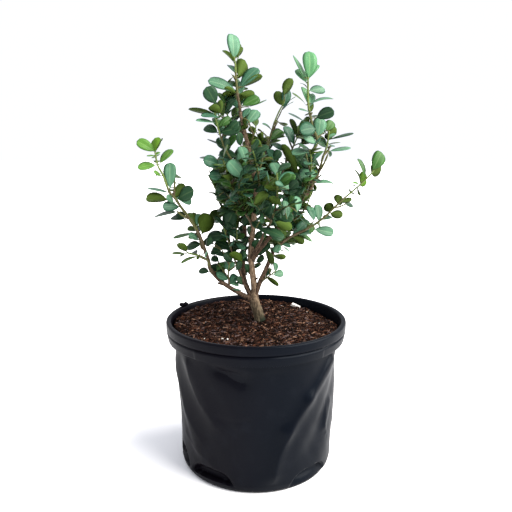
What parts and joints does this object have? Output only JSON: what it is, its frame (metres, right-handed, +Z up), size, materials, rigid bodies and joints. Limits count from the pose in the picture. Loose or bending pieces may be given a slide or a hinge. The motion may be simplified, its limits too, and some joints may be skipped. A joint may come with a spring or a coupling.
{
  "type": "potted boxwood shrub",
  "caption": "Young boxwood shrub with an open, upright crown of small leathery leaves, in a soft black nursery pot topped with bark mulch.",
  "frame": {"origin": "centre of the pot's flat underside", "axes": "+Z up along the trunk, -Y towards the front that the picture shows, +X to the right seen from the front"},
  "size_m": [0.219, 0.1704, 0.3852],
  "materials": {
    "pot_plastic": "soft near-black nursery plastic with a dull sheen, creased and dented",
    "mulch": "damp red-brown bark chips with a few white specks",
    "bark": "fine tan to grey-green bark, redder on the young limbs",
    "foliage": "small leathery leaves, dark bluish green above and olive below, bright green at the young tips"
  },
  "bodies": {
    "root": {"pot": "pot_plastic", "rim_tab": "pot_plastic", "mulch": "mulch", "trunk": "bark", "leader": "bark", "back_stem": "bark", "left_bough": "bark", "inner_bough": "bark", "right_bough": "bark", "upper_right_bough": "bark", "middle_right_bough": "bark", "front_bough": "bark", "rear_bough": "bark", "left_arm": "foliage", "left_sprig": "foliage", "left_low": "foliage", "low_left": "foliage", "inner_left": "foliage", "middle_left": "foliage", "rear_left": "foliage", "upper_left": "foliage", "crown_top": "foliage", "crown_left": "foliage", "crown_right": "foliage", "centre_top": "foliage", "centre_right": "foliage", "right_leader": "foliage", "right_spray": "foliage", "right_front": "foliage", "right_side": "foliage", "right_arm": "foliage", "right_low": "foliage", "front_low": "foliage", "front_middle": "foliage", "rear_low": "foliage", "rear_middle": "foliage", "rear_right": "foliage", "rear_corner": "foliage"}
  },
  "joints": []
}
